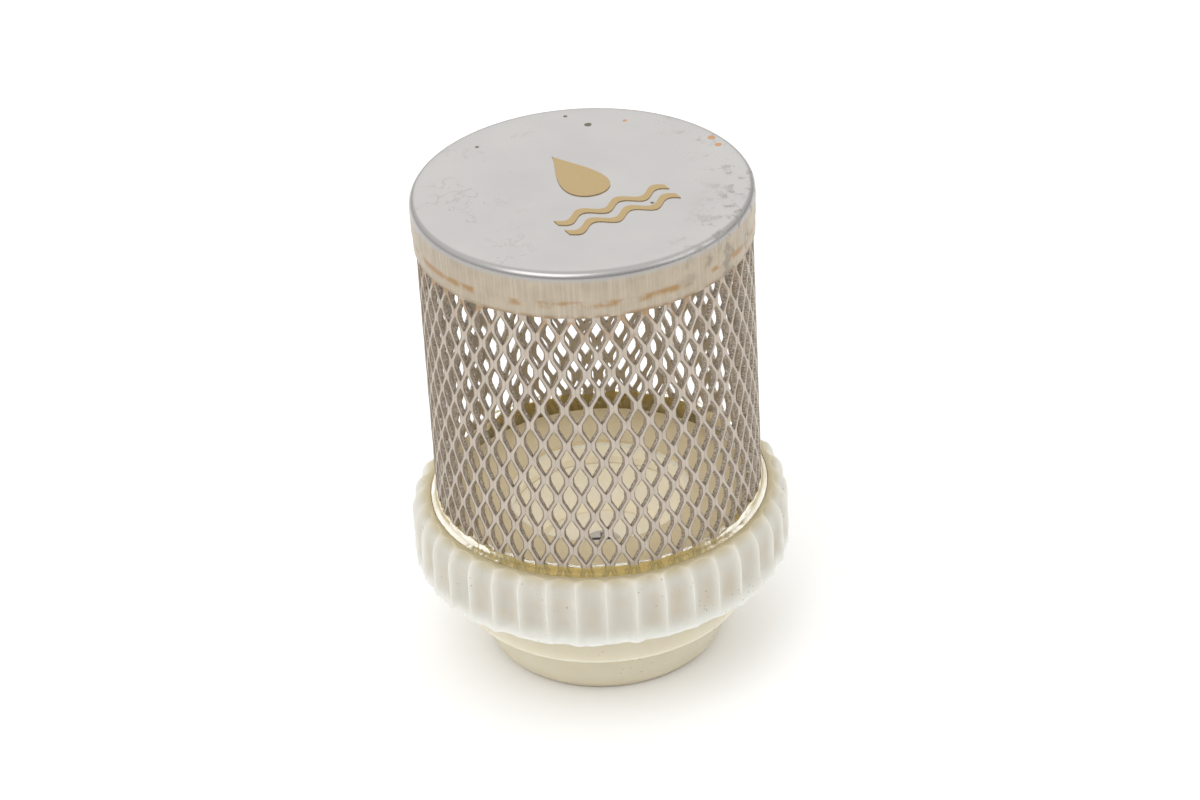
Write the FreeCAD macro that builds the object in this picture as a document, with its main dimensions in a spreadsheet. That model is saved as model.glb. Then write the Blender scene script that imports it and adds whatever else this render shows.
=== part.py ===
"""Foot valve with a strainer basket: a parametric FreeCAD document, in millimetres.

The valve stands on the end face of its spigot, which is Z = 0, and the basket's closed end points up.
In use it hangs the other way up at the foot of a suction pipe. Water comes in through the basket, passes
the seat, pushes the poppet towards the spigot and leaves through it.
"""
import FreeCAD, Part
import math
import os

import Sketcher

Vector = FreeCAD.Vector
DOC = FreeCAD.newDocument("foot_valve")

# ---------------------------------------------------------------- driving dimensions
# Radii end in _rad, heights above the spigot's end face in _lvl.
DIMENSIONS = {
    # spigot and body
    "spigot_rad": 18.0,
    "spigot_edge": 1.2,
    "shoulder_rad": 22.0,
    "shoulder_low_lvl": 7.6,
    "shoulder_edge": 0.4,
    "shoulder_top_lvl": 15.4,
    "neck_rad": 20.0,
    "neck_top_lvl": 20.5,
    "chamber_rad": 15.2,
    "chamber_top_lvl": 17.5,
    "inlet_rad": 13.2,
    "body_throat_rad": 12.6,
    # seat ring and its seal
    "seat_low_lvl": 13.5,
    "seat_bore_rad": 11.0,
    "seat_bore_top_lvl": 15.1,
    "seat_outer_rad": 15.15,
    "seal_groove_rad": 13.8,
    "seal_groove_low_lvl": 14.7,
    "seal_groove_top_lvl": 16.3,
    "o_ring_section": 0.7,
    # guide cage
    "cage_low_lvl": 2.9,
    "cage_plate_top_lvl": 4.4,
    "cage_rim_rad": 13.4,
    "hub_rad": 4.3,
    "hub_top_lvl": 6.4,
    "arm_count": 3,
    "arm_width": 3.0,
    "arm_overlap": 0.6,
    "first_arm_turn": 30.0,
    "leg_sweep": 26.0,
    # retaining ring in its groove
    "ring_low_lvl": 1.7,
    "ring_thickness": 1.2,
    "ring_inner_rad": 13.0,
    "ring_outer_rad": 16.1,
    "ring_gap": 60.0,
    "groove_clearance": 0.1,
    # poppet
    "stem_rad": 2.5,
    "stem_clearance": 0.06,
    "stem_low_lvl": 4.6,
    "stem_edge": 0.5,
    "disc_low_lvl": 10.9,
    "disc_rad": 12.4,
    "washer_low_lvl": 12.3,
    "washer_top_lvl": 13.44,
    "washer_rad": 12.2,
    "plate_rad": 9.8,
    "plate_bevel": 0.8,
    "plate_top_lvl": 14.6,
    "screw_rad": 1.5,
    "screw_low_lvl": 8.0,
    "screw_head_rad": 2.8,
    "screw_head_top_lvl": 15.6,
    "screw_head_edge_lvl": 15.2,
    "screw_head_bevel": 0.6,
    "slot_half_length": 1.7,
    "slot_half_width": 0.3,
    "slot_depth": 0.7,
    # return spring and its washer
    "spring_wire_rad": 0.35,
    "spring_low_rad": 7.6,
    "spring_top_rad": 5.2,
    "spring_turns": 4,
    "spring_gap": 0.02,
    "cup_thickness": 0.5,
    "cup_inner_rad": 4.6,
    "cup_outer_rad": 8.8,
    # strainer collar
    "collar_low_lvl": 15.7,
    "collar_rad": 28.5,
    "collar_skirt_rad": 20.3,
    "collar_roof_lvl": 22.0,
    "collar_edge_lvl": 23.4,
    "collar_edge_round": 0.6,
    "collar_bevel_in": 0.4,
    "collar_bevel_up": 1.5,
    "collar_rim_rad": 27.2,
    "collar_rim_lvl": 26.1,
    "ledge_lvl": 24.1,
    "ledge_bore_rad": 13.0,
    "pocket_low_lvl": 20.0,
    "pocket_inner_rad": 22.9,
    "pocket_outer_rad": 25.4,
    "flute_count": 40,
    "flute_rad": 2.3,
    "flute_depth": 1.05,
    # gasket
    "gasket_inner_rad": 13.6,
    "gasket_outer_rad": 19.6,
    "face_gap": 0.05,
    # resin
    "resin_top_lvl": 26.6,
    "resin_film_rad": 13.8,
    "resin_film": 0.4,
    "resin_gap": 0.03,
    "resin_drop": 0.1,
    # mesh
    "mesh_rad": 24.5,
    "mesh_thickness": 0.8,
    "mesh_low_lvl": 20.4,
    "mesh_top_lvl": 75.9,
    "mesh_cells": 44,
    "mesh_pitch": 6.0,
    "mesh_rows": 16,
    "mesh_first_lvl": 26.5,
    "opening_half_width": 1.1,
    "opening_half_height": 2.15,
    # end cap
    "cap_rad": 25.0,
    "cap_wall": 0.45,
    "cap_low_lvl": 69.3,
    "cap_taper_in": 0.15,
    "cap_taper_top_lvl": 72.7,
    "cap_top_lvl": 76.8,
    "cap_edge_round": 1.3,
}

sheet = DOC.addObject("Spreadsheet::Sheet", "dims")
for row, (alias, value) in enumerate(DIMENSIONS.items(), start=1):
    sheet.set(f"A{row}", alias)
    sheet.set(f"B{row}", str(value))
    sheet.setAlias(f"B{row}", alias)
DOC.recompute()


def dim(alias):
    """A driving dimension, read back from the sheet."""
    return float(getattr(sheet, alias))


def bound(text):
    """An expression in which every driving dimension's name points at the sheet."""
    words = []
    for word in text.replace("(", " ( ").replace(")", " ) ").split():
        words.append(f"dims.{word}" if word in DIMENSIONS else word)
    return " ".join(words)


def value_of(text):
    """The same expression worked out as a number, for a sketch's first guess."""
    result = 0.0
    sign = 1.0
    for word in text.split():
        if word in "+-":
            sign = 1.0 if word == "+" else -1.0
        else:
            result += sign * (dim(word) if word in DIMENSIONS else float(word))
    return result


# ---------------------------------------------------------------- helpers
def new_body(name):
    body = DOC.addObject("PartDesign::Body", name)
    body.Label = name
    return body


def origin_plane(body, role):
    return next(item for item in body.Origin.OriginFeatures if item.Role == role)


def add_profile(body, name, corners):
    """A closed outline on the XZ plane. Each corner is (radius, level), both as expressions."""
    sketch = body.newObject("Sketcher::SketchObject", name)
    sketch.AttachmentSupport = (origin_plane(body, "XZ_Plane"), [""])
    sketch.MapMode = "FlatFace"
    points = [Vector(value_of(radius), value_of(level), 0) for radius, level in corners]
    count = len(points)
    for index in range(count):
        sketch.addGeometry(Part.LineSegment(points[index], points[(index + 1) % count]), False)
    for index in range(count):
        sketch.addConstraint(Sketcher.Constraint("Coincident", index, 2, (index + 1) % count, 1))
    for index, (radius, level) in enumerate(corners):
        for kind, text in (("DistanceX", radius), ("DistanceY", level)):
            place = sketch.addConstraint(Sketcher.Constraint(kind, -1, 1, index, 1, value_of(text)))
            sketch.setExpression(f"Constraints[{place}]", bound(text))
    return sketch


def turned_body(name, corners):
    """A body turned from one outline about the valve's axis."""
    body = new_body(name)
    sketch = add_profile(body, f"{name}_outline", corners)
    turn = body.newObject("PartDesign::Revolution", f"{name}_turned")
    turn.Profile = sketch
    turn.ReferenceAxis = (sketch, ["V_Axis"])
    turn.Angle = 360
    DOC.recompute()
    return body


def ring_edges(shape, radius, level):
    """Names of the circular edges about the axis with this radius and level."""
    names = []
    for index, edge in enumerate(shape.Edges, start=1):
        if not isinstance(edge.Curve, Part.Circle):
            continue
        centre = edge.Curve.Center
        on_axis = math.hypot(centre.x, centre.y) < 1e-6
        if on_axis and abs(edge.Curve.Radius - radius) < 1e-4 and abs(centre.z - level) < 1e-4:
            names.append(f"Edge{index}")
    return names


def round_edges(body, name, places, size):
    """Fillet the ring edges at (radius, level) places, with a size taken from the sheet."""
    base = body.Tip
    names = []
    for radius, level in places:
        names += ring_edges(base.Shape, value_of(radius), value_of(level))
    fillet = body.newObject("PartDesign::Fillet", name)
    fillet.Base = (base, names)
    fillet.setExpression("Radius", bound(size))
    DOC.recompute()
    return fillet


def primitive(kind, name, sizes):
    """A Part primitive whose sizes are expressions."""
    thing = DOC.addObject(f"Part::{kind}", name)
    for prop, text in sizes.items():
        thing.setExpression(prop, bound(text))
    return thing


def cylinder(name, radius, low, top):
    return primitive("Cylinder", name, {
        "Radius": radius, "Height": f"{top} - {low}", "Placement.Base.z": low})


def combine(kind, name, base, tool):
    result = DOC.addObject(f"Part::{kind}", name)
    result.Base = base
    result.Tool = tool
    return result


# ---------------------------------------------------------------- valve body
def make_valve_body():
    """Spigot, shoulder and neck in one moulding, with the valve chamber and the ring groove inside."""
    return turned_body("valve_body", [
        ("chamber_rad", "0"),
        ("spigot_rad - spigot_edge", "0"),
        ("spigot_rad", "spigot_edge"),
        ("spigot_rad", "shoulder_low_lvl"),
        ("shoulder_rad", "shoulder_low_lvl + shoulder_edge"),
        ("shoulder_rad", "shoulder_top_lvl"),
        ("neck_rad", "shoulder_top_lvl"),
        ("neck_rad", "neck_top_lvl"),
        ("inlet_rad", "neck_top_lvl"),
        ("body_throat_rad", "chamber_top_lvl"),
        ("chamber_rad", "chamber_top_lvl"),
        ("chamber_rad", "ring_low_lvl + ring_thickness"),
        ("ring_outer_rad + groove_clearance", "ring_low_lvl + ring_thickness"),
        ("ring_outer_rad + groove_clearance", "ring_low_lvl"),
        ("chamber_rad", "ring_low_lvl"),
    ])


# ---------------------------------------------------------------- seat
def make_seat_ring():
    """Insert with the flat seat below and a groove for its seal outside."""
    return turned_body("seat_ring", [
        ("seat_bore_rad", "seat_low_lvl"),
        ("seat_outer_rad", "seat_low_lvl"),
        ("seat_outer_rad", "seal_groove_low_lvl"),
        ("seal_groove_rad", "seal_groove_low_lvl"),
        ("seal_groove_rad", "seal_groove_top_lvl"),
        ("seat_outer_rad", "seal_groove_top_lvl"),
        ("seat_outer_rad", "chamber_top_lvl"),
        ("body_throat_rad", "chamber_top_lvl"),
        ("seat_bore_rad", "seat_bore_top_lvl"),
    ])


def make_seat_o_ring():
    """Round-section seal that fills the seat ring's groove."""
    ring = primitive("Torus", "seat_o_ring", {
        "Radius1": "chamber_rad - o_ring_section",
        "Radius2": "o_ring_section",
        "Placement.Base.z": "(seal_groove_low_lvl + seal_groove_top_lvl) / 2",
    })
    ring.Label = "seat_o_ring"
    return ring


# ---------------------------------------------------------------- guide cage
def make_guide_cage():
    """Rim, hub and arms in one plane, with a leg from each arm's end up to the seat ring."""
    hoop = combine("Cut", "cage_hoop",
                   cylinder("cage_hoop_outside", "seat_outer_rad", "cage_low_lvl", "cage_plate_top_lvl"),
                   cylinder("cage_hoop_inside", "cage_rim_rad", "0", "seat_low_lvl"))
    pieces = [hoop, cylinder("cage_hub", "hub_rad", "cage_low_lvl", "hub_top_lvl")]
    arms = int(dim("arm_count"))
    for number in range(arms):
        turn = dim("first_arm_turn") + 360.0 * number / arms
        arm = primitive("Box", f"cage_arm_{number + 1}", {
            "Length": "cage_rim_rad + arm_overlap", "Width": "arm_width",
            "Height": "cage_plate_top_lvl - cage_low_lvl"})
        across = Vector(0, -dim("arm_width") / 2, dim("cage_low_lvl"))
        spin = FreeCAD.Rotation(Vector(0, 0, 1), turn)
        arm.Placement = FreeCAD.Placement(spin.multVec(across), spin)
        leg_solid = primitive("Cylinder", f"cage_leg_{number + 1}_sector", {
            "Radius": "seat_outer_rad", "Height": "seat_low_lvl - cage_low_lvl", "Angle": "leg_sweep"})
        leg_spin = FreeCAD.Rotation(Vector(0, 0, 1), turn - dim("leg_sweep") / 2)
        leg_solid.Placement = FreeCAD.Placement(Vector(0, 0, dim("cage_low_lvl")), leg_spin)
        leg = combine("Cut", f"cage_leg_{number + 1}", leg_solid,
                      cylinder(f"cage_leg_{number + 1}_inside", "cage_rim_rad", "0", "shoulder_top_lvl"))
        pieces += [arm, leg]
    whole = DOC.addObject("Part::MultiFuse", "cage_blank")
    whole.Shapes = pieces
    hole = cylinder("cage_stem_hole", "stem_rad + stem_clearance", "0", "shoulder_low_lvl")
    cage = combine("Cut", "guide_cage", whole, hole)
    cage.Label = "guide_cage"
    return cage


def make_retaining_ring():
    """Open spring ring in the spigot's groove, with a small gap between its ends."""
    sector = primitive("Cylinder", "ring_sector", {
        "Radius": "ring_outer_rad", "Height": "ring_thickness", "Angle": "360 - ring_gap"})
    spin = FreeCAD.Rotation(Vector(0, 0, 1), 90 + dim("ring_gap") / 2)
    sector.Placement = FreeCAD.Placement(Vector(0, 0, dim("ring_low_lvl")), spin)
    ring = combine("Cut", "retaining_ring", sector,
                   cylinder("ring_inside", "ring_inner_rad", "0", "shoulder_low_lvl"))
    ring.Label = "retaining_ring"
    return ring


# ---------------------------------------------------------------- poppet
def make_poppet():
    """Disc with its guide stem, drilled from the top for the screw."""
    return turned_body("poppet", [
        ("screw_rad", "washer_low_lvl"),
        ("screw_rad", "screw_low_lvl"),
        ("0", "screw_low_lvl"),
        ("0", "stem_low_lvl"),
        ("stem_rad - stem_edge", "stem_low_lvl"),
        ("stem_rad", "stem_low_lvl + stem_edge"),
        ("stem_rad", "disc_low_lvl"),
        ("disc_rad", "disc_low_lvl"),
        ("disc_rad", "washer_low_lvl"),
    ])


def make_poppet_seal():
    """Flat rubber washer clamped on the disc."""
    return turned_body("poppet_seal", [
        ("screw_rad", "washer_low_lvl"),
        ("washer_rad", "washer_low_lvl"),
        ("washer_rad", "washer_top_lvl"),
        ("screw_rad", "washer_top_lvl"),
    ])


def make_seal_plate():
    """Plate with a bevelled edge that clamps the rubber washer."""
    return turned_body("seal_plate", [
        ("screw_rad", "washer_top_lvl"),
        ("plate_rad", "washer_top_lvl"),
        ("plate_rad - plate_bevel", "plate_top_lvl"),
        ("screw_rad", "plate_top_lvl"),
    ])


def make_poppet_screw():
    """Pan-head screw with a cross slot."""
    body = turned_body("poppet_screw", [
        ("0", "screw_low_lvl"),
        ("screw_rad", "screw_low_lvl"),
        ("screw_rad", "plate_top_lvl"),
        ("screw_head_rad", "plate_top_lvl"),
        ("screw_head_rad", "screw_head_edge_lvl"),
        ("screw_head_rad - screw_head_bevel", "screw_head_top_lvl"),
        ("0", "screw_head_top_lvl"),
    ])
    sketch = body.newObject("Sketcher::SketchObject", "screw_slot_outline")
    sketch.AttachmentSupport = (origin_plane(body, "XY_Plane"), [""])
    sketch.MapMode = "FlatFace"
    sketch.setExpression("AttachmentOffset.Base.z", bound("screw_head_top_lvl"))
    half_long = dim("slot_half_length")
    half_wide = dim("slot_half_width")
    outline = [
        (half_wide, half_wide), (half_wide, half_long), (-half_wide, half_long), (-half_wide, half_wide),
        (-half_long, half_wide), (-half_long, -half_wide), (-half_wide, -half_wide), (-half_wide, -half_long),
        (half_wide, -half_long), (half_wide, -half_wide), (half_long, -half_wide), (half_long, half_wide),
    ]
    corners = [Vector(x, y, 0) for x, y in outline]
    for index, corner in enumerate(corners):
        sketch.addGeometry(Part.LineSegment(corner, corners[(index + 1) % len(corners)]), False)
    slot = body.newObject("PartDesign::Pocket", "screw_slot")
    slot.Profile = sketch
    slot.setExpression("Length", bound("slot_depth"))
    DOC.recompute()
    return body


# ---------------------------------------------------------------- spring
POINTS_PER_TURN = 24


def make_return_spring():
    """Conical spring, wide end on the washer, so that its turns nest when it closes up."""
    wire = dim("spring_wire_rad")
    low = dim("cage_plate_top_lvl") + dim("cup_thickness") + wire + dim("spring_gap")
    high = dim("disc_low_lvl") - wire - dim("spring_gap")
    turns = int(dim("spring_turns"))
    steps = POINTS_PER_TURN * turns
    points = []
    for step in range(steps + 1):
        part = step / steps
        angle = 2 * math.pi * turns * part
        radius = dim("spring_low_rad") + (dim("spring_top_rad") - dim("spring_low_rad")) * part
        points.append(Vector(radius * math.cos(angle), radius * math.sin(angle), low + (high - low) * part))
    path = Part.BSplineCurve()
    path.interpolate(points)
    line = path.toShape()
    start = Part.Circle(points[0], path.tangent(path.FirstParameter)[0], wire)
    section = Part.Wire(start.toShape())
    spring = DOC.addObject("Part::Feature", "return_spring")
    spring.Shape = Part.Wire(line).makePipeShell([section], True, True)
    spring.Label = "return_spring"
    return spring


def make_spring_cup():
    """Thin washer that spreads the spring's load over the cage's arms."""
    cup = combine("Cut", "spring_cup",
                  cylinder("cup_outside", "cup_outer_rad", "cage_plate_top_lvl",
                           "cage_plate_top_lvl + cup_thickness"),
                  cylinder("cup_inside", "cup_inner_rad", "0", "hub_top_lvl"))
    cup.Label = "spring_cup"
    return cup


# ---------------------------------------------------------------- strainer
def make_strainer_collar():
    """Internally threaded collar: fluted grip, a pocket that the mesh is potted in, and a ledge inside it."""
    body = turned_body("strainer_collar", [
        ("collar_skirt_rad", "collar_low_lvl"),
        ("collar_rad", "collar_low_lvl"),
        ("collar_rad", "collar_edge_lvl"),
        ("collar_rad - collar_bevel_in", "collar_edge_lvl + collar_bevel_up"),
        ("collar_rim_rad", "collar_rim_lvl"),
        ("pocket_outer_rad", "collar_rim_lvl"),
        ("pocket_outer_rad", "pocket_low_lvl"),
        ("pocket_inner_rad", "pocket_low_lvl"),
        ("pocket_inner_rad", "ledge_lvl"),
        ("ledge_bore_rad", "ledge_lvl"),
        ("ledge_bore_rad", "collar_roof_lvl"),
        ("collar_skirt_rad", "collar_roof_lvl"),
    ])
    round_edges(body, "collar_low_round", [("collar_rad", "collar_low_lvl")], "collar_edge_round")
    blank_volume = body.Shape.Volume
    least_cut = 100
    sketch = body.newObject("Sketcher::SketchObject", "flute_outline")
    sketch.AttachmentSupport = (origin_plane(body, "XY_Plane"), [""])
    sketch.MapMode = "FlatFace"
    half_pitch = math.pi / dim("flute_count")
    reach = dim("collar_rad") + dim("flute_rad") - dim("flute_depth")
    centre = Vector(reach * math.cos(half_pitch), reach * math.sin(half_pitch), 0)
    sketch.addGeometry(Part.Circle(centre, Vector(0, 0, 1), dim("flute_rad")), False)
    size = sketch.addConstraint(Sketcher.Constraint("Radius", 0, dim("flute_rad")))
    sketch.setExpression(f"Constraints[{size}]", bound("flute_rad"))
    across = sketch.addConstraint(Sketcher.Constraint("DistanceX", -1, 1, 0, 3, centre.x))
    spread = "(dims.collar_rad + dims.flute_rad - dims.flute_depth)"
    sketch.setExpression(f"Constraints[{across}]", f"{spread} * cos(180 deg / dims.flute_count)")
    along = sketch.addConstraint(Sketcher.Constraint("DistanceY", -1, 1, 0, 3, centre.y))
    sketch.setExpression(f"Constraints[{along}]", f"{spread} * sin(180 deg / dims.flute_count)")
    flute = body.newObject("PartDesign::Pocket", "flute")
    flute.Profile = sketch
    flute.Type = "ThroughAll"
    flute.Reversed = True
    DOC.recompute()
    flutes = body.newObject("PartDesign::PolarPattern", "flutes")
    flutes.Originals = [flute]
    flutes.Axis = (sketch, ["N_Axis"])
    flutes.Angle = 360
    flutes.setExpression("Occurrences", "dims.flute_count")
    body.Tip = flutes
    DOC.recompute()
    if body.Shape.Volume > blank_volume - least_cut:
        raise RuntimeError("the flutes cut nothing")
    return body


def make_collar_gasket():
    """Flat rubber ring between the neck's end and the collar's roof."""
    return turned_body("collar_gasket", [
        ("gasket_inner_rad", "neck_top_lvl + face_gap"),
        ("gasket_outer_rad", "neck_top_lvl + face_gap"),
        ("gasket_outer_rad", "collar_roof_lvl"),
        ("gasket_inner_rad", "collar_roof_lvl"),
    ])


def make_potting_resin():
    """Resin that fills the collar's pocket, climbs the mesh and runs inwards as a thin film."""
    return turned_body("potting_resin", [
        ("pocket_inner_rad + resin_gap", "pocket_low_lvl + resin_gap"),
        ("pocket_outer_rad - resin_gap", "pocket_low_lvl + resin_gap"),
        ("pocket_outer_rad - resin_gap", "collar_rim_lvl - resin_drop"),
        ("mesh_rad", "resin_top_lvl"),
        ("mesh_rad - mesh_thickness", "resin_top_lvl"),
        ("pocket_inner_rad", "ledge_lvl + resin_gap + resin_film"),
        ("resin_film_rad", "ledge_lvl + resin_gap + resin_film"),
        ("resin_film_rad", "ledge_lvl + resin_gap"),
        ("pocket_inner_rad + resin_gap", "ledge_lvl + resin_gap"),
    ])


CUTTER_MARGIN = 1.0


def make_strainer_mesh():
    """Tube of expanded metal: rows of diamond openings, each row half a cell round from the last."""
    outer = dim("mesh_rad")
    inner = outer - dim("mesh_thickness")
    low = dim("mesh_low_lvl")
    height = dim("mesh_top_lvl") - low
    tube = Part.makeCylinder(outer, height, Vector(0, 0, low)).cut(
        Part.makeCylinder(inner, height, Vector(0, 0, low)))
    start = inner - CUTTER_MARGIN
    depth = dim("mesh_thickness") + 2 * CUTTER_MARGIN
    half_wide = dim("opening_half_width")
    half_tall = dim("opening_half_height")
    corners = [Vector(start, 0, -half_tall), Vector(start, half_wide, 0),
               Vector(start, 0, half_tall), Vector(start, -half_wide, 0)]
    diamond = Part.Face(Part.makePolygon(corners + corners[:1])).extrude(Vector(depth, 0, 0))
    cells = int(dim("mesh_cells"))
    openings = []
    for row in range(int(dim("mesh_rows"))):
        level = dim("mesh_first_lvl") + row * dim("mesh_pitch") / 2
        for cell in range(cells):
            opening = diamond.copy()
            opening.translate(Vector(0, 0, level))
            opening.rotate(Vector(0, 0, 0), Vector(0, 0, 1), 360.0 * (cell + 0.5 * (row % 2)) / cells)
            openings.append(opening)
    mesh = DOC.addObject("Part::Feature", "strainer_mesh")
    mesh.Shape = tube.cut(Part.makeCompound(openings))
    mesh.Label = "strainer_mesh"
    return mesh


def make_end_cap():
    """Pressed cup over the basket's closed end, its skirt turned in a little at the lower edge."""
    body = turned_body("end_cap", [
        ("0", "cap_top_lvl - cap_wall"),
        ("cap_rad - cap_wall", "cap_top_lvl - cap_wall"),
        ("cap_rad - cap_wall", "cap_low_lvl"),
        ("cap_rad - cap_taper_in", "cap_low_lvl"),
        ("cap_rad", "cap_taper_top_lvl"),
        ("cap_rad", "cap_top_lvl"),
        ("0", "cap_top_lvl"),
    ])
    round_edges(body, "cap_edge", [("cap_rad", "cap_top_lvl")], "cap_edge_round")
    return body


# ---------------------------------------------------------------- build, test and write
PIECES = [
    make_valve_body(),
    make_seat_ring(),
    make_seat_o_ring(),
    make_guide_cage(),
    make_retaining_ring(),
    make_poppet(),
    make_poppet_seal(),
    make_seal_plate(),
    make_poppet_screw(),
    make_return_spring(),
    make_spring_cup(),
    make_strainer_collar(),
    make_collar_gasket(),
    make_potting_resin(),
    make_strainer_mesh(),
    make_end_cap(),
]
DOC.recompute()

for item in DOC.Objects:
    if "Invalid" in item.State or "Error" in item.State:
        raise RuntimeError(f"{item.Label}: {item.State}")
for piece in PIECES:
    if piece.Shape.isNull() or not piece.Shape.isValid():
        raise RuntimeError(f"{piece.Label} has no valid shape")

os.makedirs("parts", exist_ok=True)
for piece in PIECES:
    piece.Shape.exportStep(f"parts/{piece.Label}.step")
    box = piece.Shape.BoundBox
    print(f"{piece.Label:18s} solids {len(piece.Shape.Solids)} volume {piece.Shape.Volume:9.1f}"
          f" z {box.ZMin:6.2f} to {box.ZMax:6.2f} r {box.XMax:6.2f}")
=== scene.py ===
"""Foot valve with a strainer basket: the looks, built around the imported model.

The valve stands on its spigot and the basket's closed end points up. Blender works in metres. The shapes
here are worked out in millimetres and turned into metres when a mesh is made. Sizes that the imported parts
already hold are read from the frame.
"""

import math

import bmesh
import bpy
import numpy as np
from mathutils import Matrix, Vector, noise


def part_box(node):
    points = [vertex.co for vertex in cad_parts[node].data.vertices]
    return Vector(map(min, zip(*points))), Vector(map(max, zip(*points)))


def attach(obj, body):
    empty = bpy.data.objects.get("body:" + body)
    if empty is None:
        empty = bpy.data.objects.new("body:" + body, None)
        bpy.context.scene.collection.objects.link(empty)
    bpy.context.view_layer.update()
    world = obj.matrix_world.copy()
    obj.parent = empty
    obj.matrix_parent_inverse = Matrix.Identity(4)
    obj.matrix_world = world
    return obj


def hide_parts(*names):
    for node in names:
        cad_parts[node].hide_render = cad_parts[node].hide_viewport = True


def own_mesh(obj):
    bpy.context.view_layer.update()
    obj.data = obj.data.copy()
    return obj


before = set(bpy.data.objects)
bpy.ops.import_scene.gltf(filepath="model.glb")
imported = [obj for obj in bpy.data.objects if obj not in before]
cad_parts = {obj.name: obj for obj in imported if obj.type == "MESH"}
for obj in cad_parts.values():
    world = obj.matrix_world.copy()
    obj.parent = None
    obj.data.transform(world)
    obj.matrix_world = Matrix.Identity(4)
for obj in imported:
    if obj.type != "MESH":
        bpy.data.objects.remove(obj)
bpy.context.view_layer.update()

MM = 0.001
SEED = 7
NOISE_SHIFT = 11.3
LATHE_STEPS = 288
LEDGE = 24.1
NYLON_SPREAD = (1.0, 0.97, 0.92)
# weak emission of the inner faces, which stands in for light that passes through the milky nylon
FILM_GLOW = 0.2
BORE_GLOW = 0.22


def reach(node):
    """Outer radius, lowest and highest level of a CAD node, in millimetres."""
    low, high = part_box(node)
    return high.x / MM, low.z / MM, high.z / MM


CAP_RAD, CAP_LOW, CAP_TOP = reach("end_cap")
MESH_RAD, MESH_LOW, MESH_TOP = reach("strainer_mesh")
RESIN_RAD, RESIN_LOW, RESIN_TOP = reach("potting_resin")
COLLAR_RAD, COLLAR_LOW, COLLAR_TOP = reach("strainer_collar")
BODY_RAD, BODY_LOW, BODY_TOP = reach("valve_body")
BORE_RAD = reach("guide_cage")[0]


# ---------------------------------------------------------------- mesh helpers
def rounded(corners, steps=4):
    """A section's points from its corners. A corner (radius, level, reach) is rounded over its reach."""
    points = []
    for index, (radius, level, size) in enumerate(corners):
        here = np.array((radius, level), float)
        if size == 0:
            points.append(here)
            continue
        before = np.array(corners[index - 1][:2]) - here
        after = np.array(corners[(index + 1) % len(corners)][:2]) - here
        start = here + before / np.linalg.norm(before) * size
        end = here + after / np.linalg.norm(after) * size
        for part in np.linspace(0, 1, steps + 1):
            points.append((1 - part) ** 2 * start + 2 * part * (1 - part) * here + part ** 2 * end)
    return points


def divided(points, longest):
    """The same closed outline, with no run between two points longer than this."""
    result = []
    for index, point in enumerate(points):
        after = points[(index + 1) % len(points)]
        count = max(1, math.ceil(np.linalg.norm(after - point) / longest))
        result += [point + (after - point) * step / count for step in range(count)]
    return np.array(result)


def ripple(points, size, seed):
    """Smooth noise from about -1 to 1 at each point, with features about size across."""
    shift = Vector((seed, 2 * seed, 3 * seed)) * NOISE_SHIFT
    flat = (noise.noise(Vector(point) / size + shift) for point in points.reshape(-1, 3))
    return np.fromiter(flat, float).reshape(points.shape[:-1])


def around(angle, radius, level):
    """Points at these angles, radii and levels."""
    return np.stack((radius * np.cos(angle), radius * np.sin(angle), level + 0 * angle), axis=-1)


def lathe(section, count, shape=None):
    """A closed section turned about Z: its points and faces. shape moves (angle, radius, level) arrays."""
    angle = np.arange(count)[:, None] * math.tau / count + np.zeros(len(section))
    radius = section[:, 0] + 0 * angle
    level = section[:, 1] + 0 * angle
    if shape:
        radius, level = shape(angle, radius, level)
    here = np.arange(angle.size).reshape(angle.shape)
    across = np.roll(here, -1, axis=0)
    faces = np.stack((here, np.roll(here, -1, axis=1), np.roll(across, -1, axis=1), across), axis=-1)
    return around(angle, radius, level).reshape(-1, 3), faces.reshape(-1, 4)


def in_bore(points, faces, radius, level):
    """1 for each face inside this radius and above this level, and 0 for the others."""
    middles = points[faces].mean(axis=1)
    return ((np.hypot(middles[:, 0], middles[:, 1]) < radius) & (middles[:, 2] > level)).astype(int)


def make_piece(name, points, faces, body, materials, replaces=(), choice=None, sharp=40):
    """A mesh piece from points in millimetres. choice gives each face its material's index."""
    mesh = bpy.data.meshes.new(name)
    mesh.from_pydata((np.asarray(points) * MM).tolist(), [], [list(face) for face in faces])
    for material in materials:
        mesh.materials.append(material)
    if choice is not None:
        mesh.polygons.foreach_set("material_index", choice)
    work = bmesh.new()
    work.from_mesh(mesh)
    bmesh.ops.remove_doubles(work, verts=work.verts, dist=1e-8)
    bmesh.ops.recalc_face_normals(work, faces=work.faces)
    work.to_mesh(mesh)
    work.free()
    mesh.shade_smooth()
    mesh.set_sharp_from_angle(angle=math.radians(sharp))
    piece = bpy.data.objects.new(name, mesh)
    bpy.context.scene.collection.objects.link(piece)
    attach(piece, body)
    if replaces:
        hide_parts(*replaces)
    return piece


# ---------------------------------------------------------------- material helpers
def linear(red, green, blue):
    """A colour given as 0 to 255 screen values."""
    parts = [value / 255 for value in (red, green, blue)]
    return [part / 12.92 if part <= 0.04045 else ((part + 0.055) / 1.055) ** 2.4 for part in parts] + [1.0]


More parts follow.
